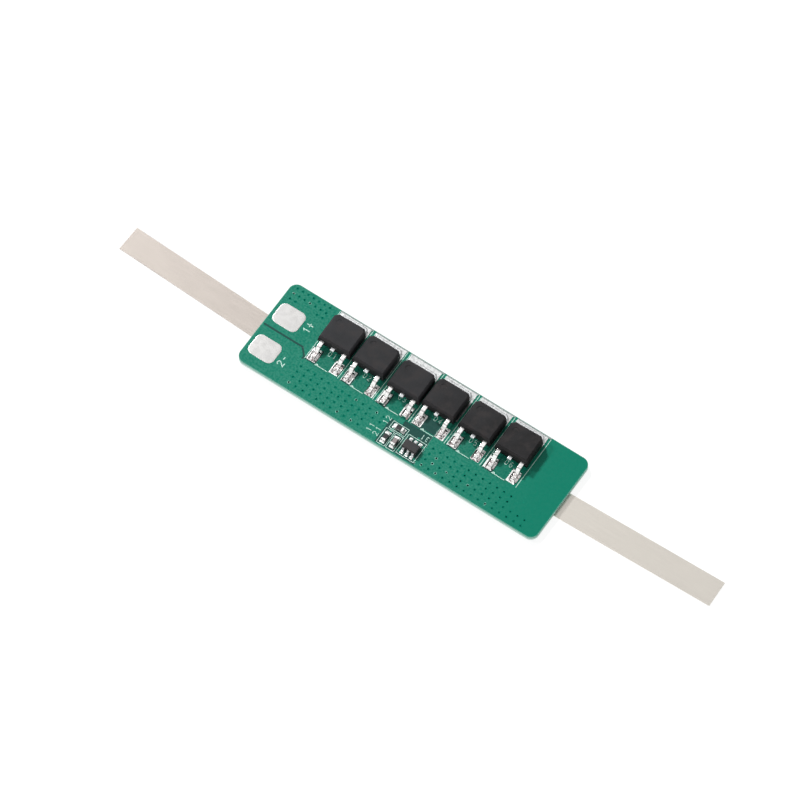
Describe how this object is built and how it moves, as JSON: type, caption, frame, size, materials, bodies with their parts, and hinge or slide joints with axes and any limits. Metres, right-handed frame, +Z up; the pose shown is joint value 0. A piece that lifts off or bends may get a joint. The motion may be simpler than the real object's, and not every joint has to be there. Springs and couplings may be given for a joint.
{
  "type": "battery management board",
  "caption": "Long narrow green circuit board that protects a battery cell, with a row of power transistors, a small control chip, terminal pads and a nickel strip soldered under each end.",
  "frame": {"origin": "middle of the whole outline in plan, at the underside of the nickel strips", "axes": "+X along the board from the terminal pad end to the bare end, +Y across it towards the transistor tabs, +Z up out of the component side"},
  "size_m": [0.1194, 0.0176, 0.0037],
  "materials": {
    "circuit_board": "green solder mask over glass laminate",
    "tinned_land": "tinned copper, satin",
    "tinned_lead": "tinned copper, satin",
    "solder": "bright solder",
    "moulded_body": "moulding compound, fine matt",
    "nickel": "rolled nickel strip, satin",
    "end_cap": "tinned end cap",
    "resistor_ceramic": "black glazed top",
    "capacitor_ceramic": "bare tan ceramic"
  },
  "bodies": {
    "root": {"capacitor_body": "capacitor_ceramic", "capacitor_end_caps": "end_cap", "circuit_board": "circuit_board", "control_chip_body": "moulded_body", "control_chip_lands": "tinned_land", "control_chip_leads": "tinned_lead", "control_chip_solder": "solder", "drain_lands": "tinned_land", "lead_lands": "tinned_land", "nickel_strip_left": "nickel", "nickel_strip_right": "nickel", "resistor_1_body": "resistor_ceramic", "resistor_1_end_caps": "end_cap", "resistor_2_body": "resistor_ceramic", "resistor_2_end_caps": "end_cap", "small_part_lands": "tinned_land", "small_part_solder": "solder", "strip_land_left": "tinned_land", "strip_land_right": "tinned_land", "strip_solder_left": "solder", "strip_solder_right": "solder", "terminal_pad_minus": "tinned_land", "terminal_pad_plus": "tinned_land", "transistor_1_body": "moulded_body", "transistor_1_drain_tab": "tinned_lead", "transistor_1_gate_lead": "tinned_lead", "transistor_1_solder": "solder", "transistor_1_source_lead": "tinned_lead", "transistor_2_body": "moulded_body", "transistor_2_drain_tab": "tinned_lead", "transistor_2_gate_lead": "tinned_lead", "transistor_2_solder": "solder", "transistor_2_source_lead": "tinned_lead", "transistor_3_body": "moulded_body", "transistor_3_drain_tab": "tinned_lead", "transistor_3_gate_lead": "tinned_lead", "transistor_3_solder": "solder", "transistor_3_source_lead": "tinned_lead", "transistor_4_body": "moulded_body", "transistor_4_drain_tab": "tinned_lead", "transistor_4_gate_lead": "tinned_lead", "transistor_4_solder": "solder", "transistor_4_source_lead": "tinned_lead", "transistor_5_body": "moulded_body", "transistor_5_drain_tab": "tinned_lead", "transistor_5_gate_lead": "tinned_lead", "transistor_5_solder": "solder", "transistor_5_source_lead": "tinned_lead", "transistor_6_body": "moulded_body", "transistor_6_drain_tab": "tinned_lead", "transistor_6_gate_lead": "tinned_lead", "transistor_6_solder": "solder", "transistor_6_source_lead": "tinned_lead"}
  },
  "joints": []
}
